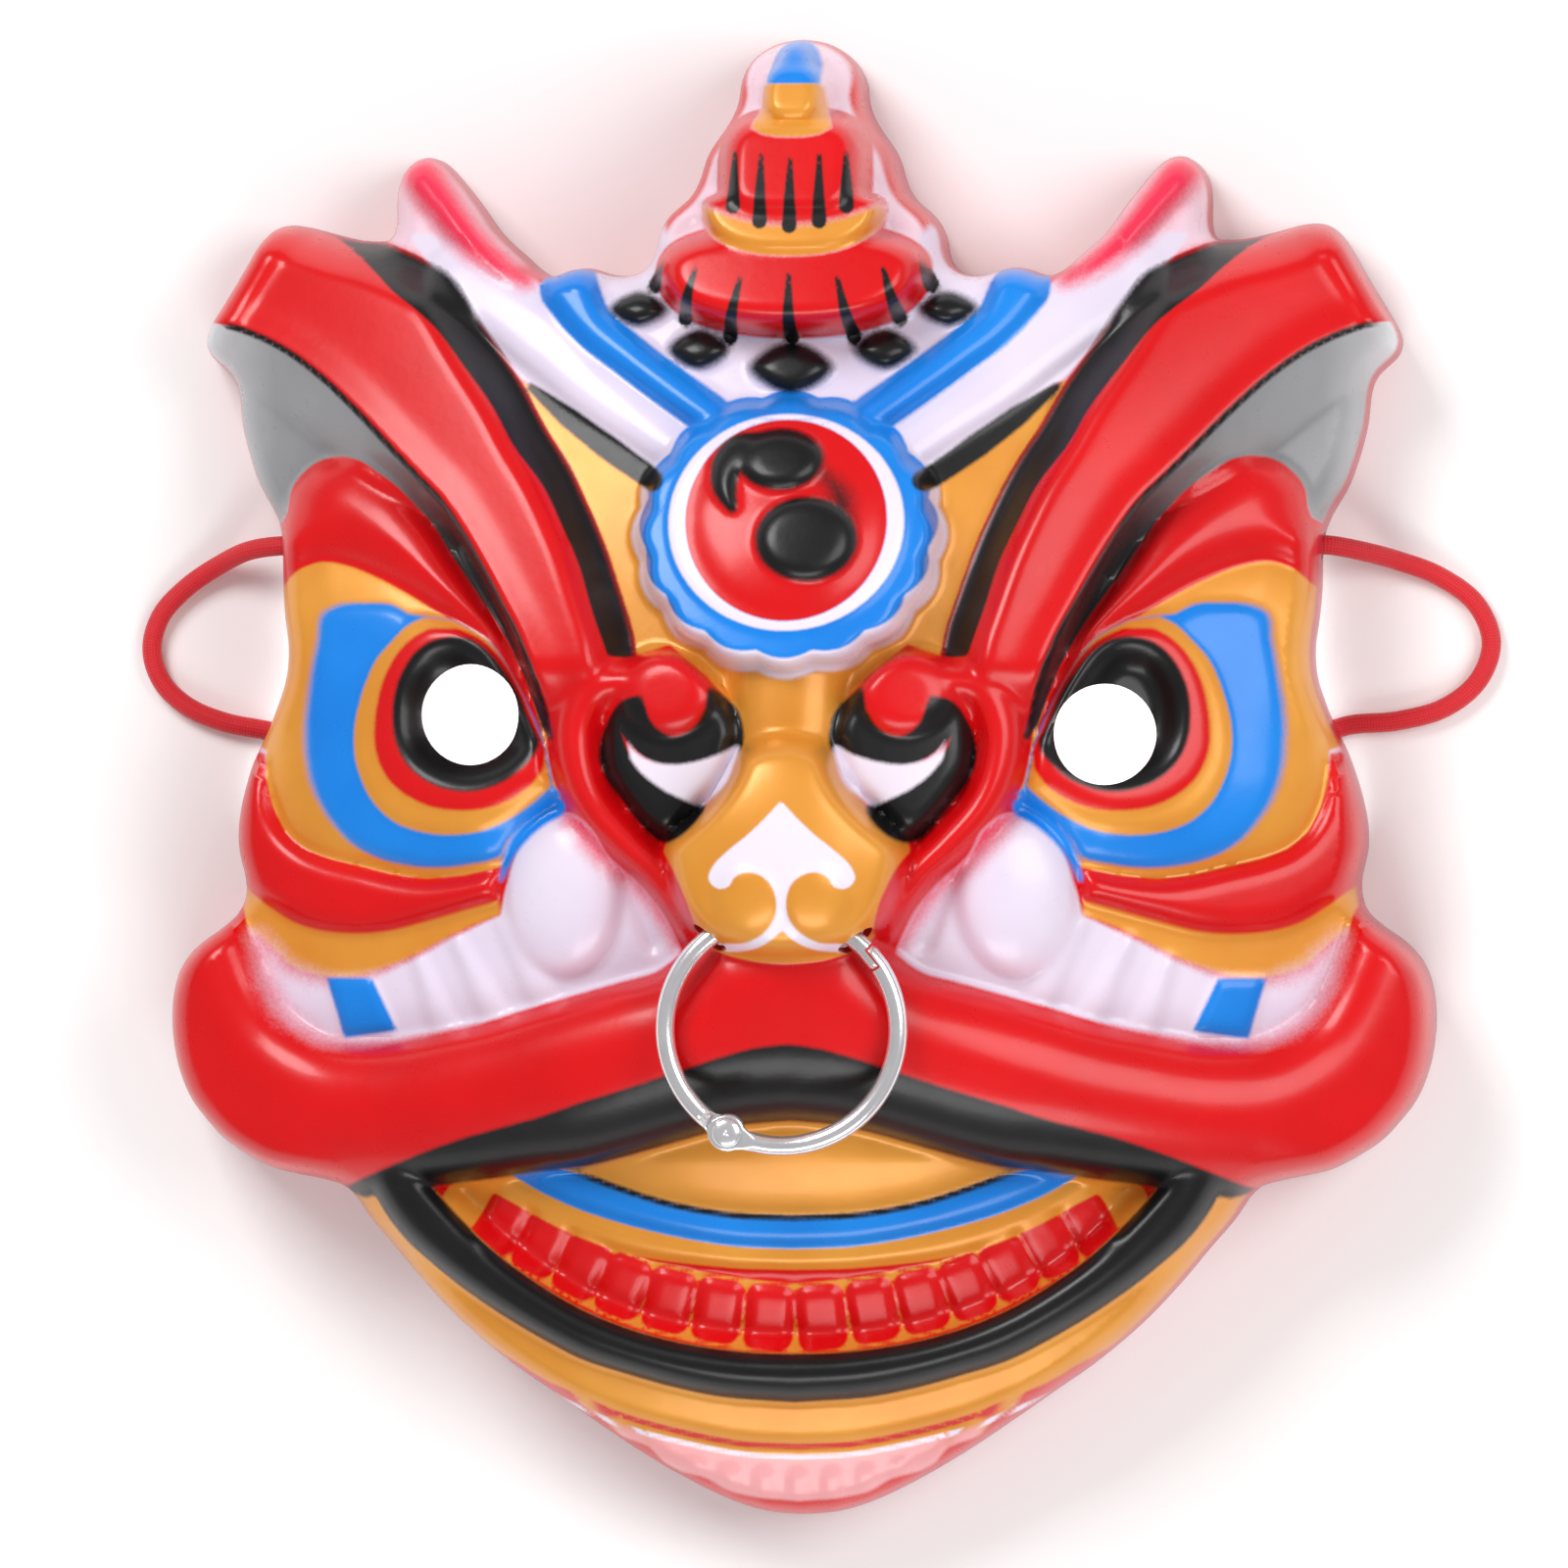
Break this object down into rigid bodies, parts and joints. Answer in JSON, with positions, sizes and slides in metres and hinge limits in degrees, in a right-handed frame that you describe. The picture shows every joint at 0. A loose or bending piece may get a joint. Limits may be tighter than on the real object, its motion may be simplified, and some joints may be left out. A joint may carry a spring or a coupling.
{
  "type": "lion dance face mask",
  "caption": "Deep moulded face mask with a carved animal face, eye holes, a steel nose ring that swings and opens, and an elastic cord.",
  "frame": {"origin": "middle of the mask across and up the face, on the plane of its flat rim", "axes": "+Z the way the face looks, +Y up the face to the horn, +X to the right in the picture"},
  "size_m": [0.2091, 0.2265, 0.0682],
  "materials": {
    "red_plastic": "glossy moulded plastic",
    "steel": "bright plated wire",
    "red_elastic": "woven elastic cord"
  },
  "bodies": {
    "mask": {"mask_shell": "red_plastic", "elastic_cord": "red_elastic", "elastic_knot_left": "red_elastic", "elastic_knot_right": "red_elastic"},
    "ring": {"ring_half_captive": "steel", "ring_rivet": "steel"},
    "gate": {"ring_half_gate": "steel"}
  },
  "joints": [
    {"name": "ring_swing", "type": "hinge", "parent": "mask", "child": "ring", "pos_m": [-0.0005, -0.0251, 0.0582], "axis": [-1, 0, 0], "range_deg": [0, 60]},
    {"name": "gate_hinge", "type": "hinge", "parent": "ring", "child": "gate", "pos_m": [-0.00874, -0.05346, 0.05671], "axis": [0, 0.0523, -0.9986], "range_deg": [0, 60]}
  ]
}
